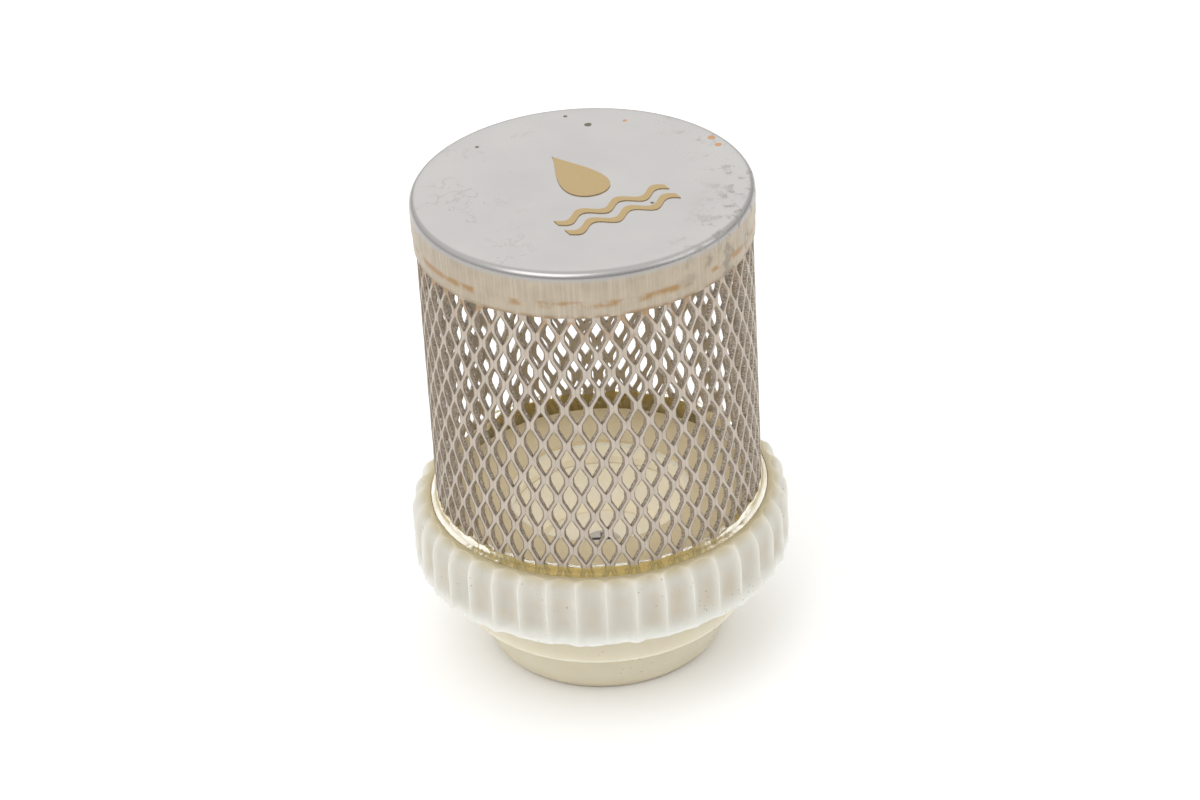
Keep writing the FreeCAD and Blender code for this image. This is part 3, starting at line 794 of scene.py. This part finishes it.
# ---------------------------------------------------------------- body
def make_body():
    """Spigot with a bevelled foot, shoulder and threaded neck, with the bore and the ring's groove inside."""
    spigot = 18.0
    shoulder_low = 7.6
    shoulder_top = 15.4
    neck = 20.0
    inlet = 13.2
    throat = 12.6
    chamber_top = 17.5
    groove = 16.2
    groove_low = 1.7
    groove_top = 2.9
    section = divided(rounded([
        (BORE_RAD + 0.05, BODY_LOW, 0.25),
        (spigot - 1.2, BODY_LOW, 0.3),
        (spigot, BODY_LOW + 1.2, 0.5),
        (spigot, shoulder_low, 0.4),
        (BODY_RAD, shoulder_low + 0.4, 0.5),
        (BODY_RAD, shoulder_top, 0.5),
        (neck, shoulder_top, 0.3),
        (neck, BODY_TOP, 0.3),
        (inlet, BODY_TOP, 0.3),
        (throat, chamber_top, 0),
        (BORE_RAD + 0.05, chamber_top, 0),
        (BORE_RAD + 0.05, groove_top, 0.1),
        (groove, groove_top, 0),
        (groove, groove_low, 0),
        (BORE_RAD + 0.05, groove_low, 0.1),
    ], 4), 0.3)

    def shape(angle, radius, level):
        """Slightly uneven moulding, and the neck's thread, which fits the collar's."""
        points = around(angle, radius, level)
        outside = radius > neck - 2.5
        radius = radius - outside * (level < shoulder_top - 0.5) * 0.05 * (1 + ripple(points, 6, 10))
        neck_part = (np.abs(radius - neck) < 0.01) * np.clip((level - shoulder_top - 0.3) / 0.3, 0, 1)
        neck_part = neck_part * np.clip((BODY_TOP - 0.3 - level) / 0.3, 0, 1)
        return radius + neck_part * (thread_wave(angle, level) * THREAD_DEEP - 0.3), level

    points, faces = lathe(section, LATHE_STEPS, shape)
    lit = in_bore(points, faces, inlet + 0.3, chamber_top - 0.1)
    return make_piece("body_moulding", points, faces, "valve", [body_nylon(), bore_nylon()],
                      ["valve_body"], lit)


# ---------------------------------------------------------------- return spring
WIRE_RAD = 0.35
SPRING_TURNS = 4
SPRING_TAPER = 2.4
SPRING_STEPS = 48


def make_spring():
    """Conical wire spring, narrowing towards its top."""
    outer, low, high = reach("return_spring")
    wide = outer - WIRE_RAD
    steps = SPRING_STEPS * SPRING_TURNS
    sides = 12
    part = np.linspace(0, 1, steps + 1)[:, None]
    turn = math.tau * SPRING_TURNS * part
    side = np.linspace(0, math.tau, sides, endpoint=False)
    radius = wide - SPRING_TAPER * part + WIRE_RAD * np.cos(side)
    level = low + WIRE_RAD + (high - low - 2 * WIRE_RAD) * part + WIRE_RAD * np.sin(side)
    points = around(turn, radius, level).reshape(-1, 3)
    here = np.arange((steps + 1) * sides).reshape(steps + 1, sides)
    beside = np.roll(here, -1, axis=1)
    faces = np.stack((here[:-1], beside[:-1], beside[1:], here[1:]), axis=-1).reshape(-1, 4).tolist()
    faces += [here[0].tolist(), here[-1].tolist()]
    wire = turned_metal("spring_wire", (168, 166, 162), (202, 200, 196))
    piece = make_piece("wire_spring", points, faces, "valve", [wire], ["return_spring"])
    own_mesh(piece)


# ---------------------------------------------------------------- CAD nodes that stay
def dress_inside():
    """Materials for the seals, seat, poppet, cage and rings, whose CAD shapes stay."""
    looks = {
        "rubber": moulded("black_rubber", (34, 34, 36), (52, 52, 54), 0.5, 0.75),
        # pale_rubber and cream_acetal also glow at BORE_GLOW: painted light, standing in for light through
        # the nylon round them
        "seal": moulded("pale_rubber", (216, 206, 182), (228, 219, 198), 0.5, 0.75, BORE_GLOW),
        "acetal": moulded("cream_acetal", (230, 222, 202), (238, 231, 214), 0.25, 0.4, BORE_GLOW),
        "steel": turned_metal("bright_steel", (186, 186, 188), (214, 214, 214)),
    }
    nodes = {
        "collar_gasket": "seal", "poppet_seal": "seal", "seat_o_ring": "rubber",
        "seat_ring": "acetal", "guide_cage": "acetal", "poppet": "acetal", "seal_plate": "acetal",
        "poppet_screw": "steel", "retaining_ring": "steel", "spring_cup": "steel",
    }
    for node, look in nodes.items():
        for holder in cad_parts[node].material_slots:
            holder.material = looks[look]


# ---------------------------------------------------------------- stage
CAMERA_RISE = 0.00208
CAMERA_HEIGHT = 0.5 * (CAP_TOP + BODY_LOW) * MM + CAMERA_RISE
CAMERA_BACK = 0.5738
CAMERA_TILT = math.radians(32.02)
CAMERA_ROLL = math.radians(-3.404)
CAMERA_LENS = 115.68
CAMERA_SHIFT = 0.0048
FLOOR_HALF = 6.0
# softboxes: place and size in metres, and power in watts
SOFTBOXES = (
    ((-0.3, -0.45, 0.75), 0.6, 2.0),
    ((0.7, -0.2, 0.5), 0.6, 0.8),
    ((0.0, 0.9, 0.65), 0.9, 1.2),
)


def make_camera():
    back = Vector((0, -math.cos(CAMERA_TILT), math.sin(CAMERA_TILT)))
    right = Vector((1, 0, 0))
    up = back.cross(right)
    turned_right = right * math.cos(CAMERA_ROLL) + up * math.sin(CAMERA_ROLL)
    turned_up = up * math.cos(CAMERA_ROLL) - right * math.sin(CAMERA_ROLL)
    camera = bpy.data.objects.new("camera", bpy.data.cameras.new("camera"))
    bpy.context.scene.collection.objects.link(camera)
    place = Matrix((turned_right, turned_up, back)).transposed().to_4x4()
    place.translation = Vector((0, 0, CAMERA_HEIGHT)) + back * CAMERA_BACK
    camera.matrix_world = place
    camera.data.lens = CAMERA_LENS
    camera.data.shift_x = CAMERA_SHIFT
    bpy.context.scene.camera = camera


def add_softbox(place, size, power):
    light = bpy.data.lights.new("softbox", "AREA")
    light.size = size
    light.energy = power
    lamp = bpy.data.objects.new("softbox", light)
    lamp.location = place
    aim = Vector((0, 0, CAMERA_HEIGHT)) - Vector(place)
    lamp.rotation_euler = aim.to_track_quat("-Z", "Y").to_euler()
    bpy.context.scene.collection.objects.link(lamp)


SKY_LOW = 0.3
SKY_HIGH = 1.15


def make_sky():
    """A soft sky: brightest overhead and at the back on the left, darkest low down in front."""
    world = bpy.data.worlds.new("sky")
    world.use_nodes = True
    tree = world.node_tree
    along = tree.nodes.new("ShaderNodeVectorMath")
    along.operation = "DOT_PRODUCT"
    along.inputs[1].default_value = (-0.1, 0.12, 0.9)
    tree.links.new(tree.nodes.new("ShaderNodeTexCoord").outputs["Generated"], along.inputs[0])
    fade = tree.nodes.new("ShaderNodeMapRange")
    fade.interpolation_type = "SMOOTHSTEP"
    for socket, value in (("From Min", -0.4), ("From Max", 0.8), ("To Min", SKY_LOW), ("To Max", SKY_HIGH)):
        fade.inputs[socket].default_value = value
    tree.links.new(along.outputs["Value"], fade.inputs["Value"])
    tree.nodes["Background"].inputs["Color"].default_value = (1.0, 0.995, 0.985, 1)
    tree.links.new(fade.outputs["Result"], tree.nodes["Background"].inputs["Strength"])
    bpy.context.scene.world = world


def make_stage():
    """A wide pale floor, a soft sky and large soft lamps."""
    mesh = bpy.data.meshes.new("floor")
    corners = [(x * FLOOR_HALF, y * FLOOR_HALF, 0) for x, y in ((-1, -1), (1, -1), (1, 1), (-1, 1))]
    mesh.from_pydata(corners, [], [(0, 1, 2, 3)])
    mesh.materials.append(floor_paper())
    floor = bpy.data.objects.new("floor", mesh)
    bpy.context.scene.collection.objects.link(floor)
    make_sky()
    for place, size, power in SOFTBOXES:
        add_softbox(place, size, power)
    bpy.context.scene.view_settings.view_transform = "Standard"


make_camera()
make_stage()
make_cap()
make_cap_mark()
make_basket()
make_resin()
make_collar()
make_body()
make_spring()
dress_inside()
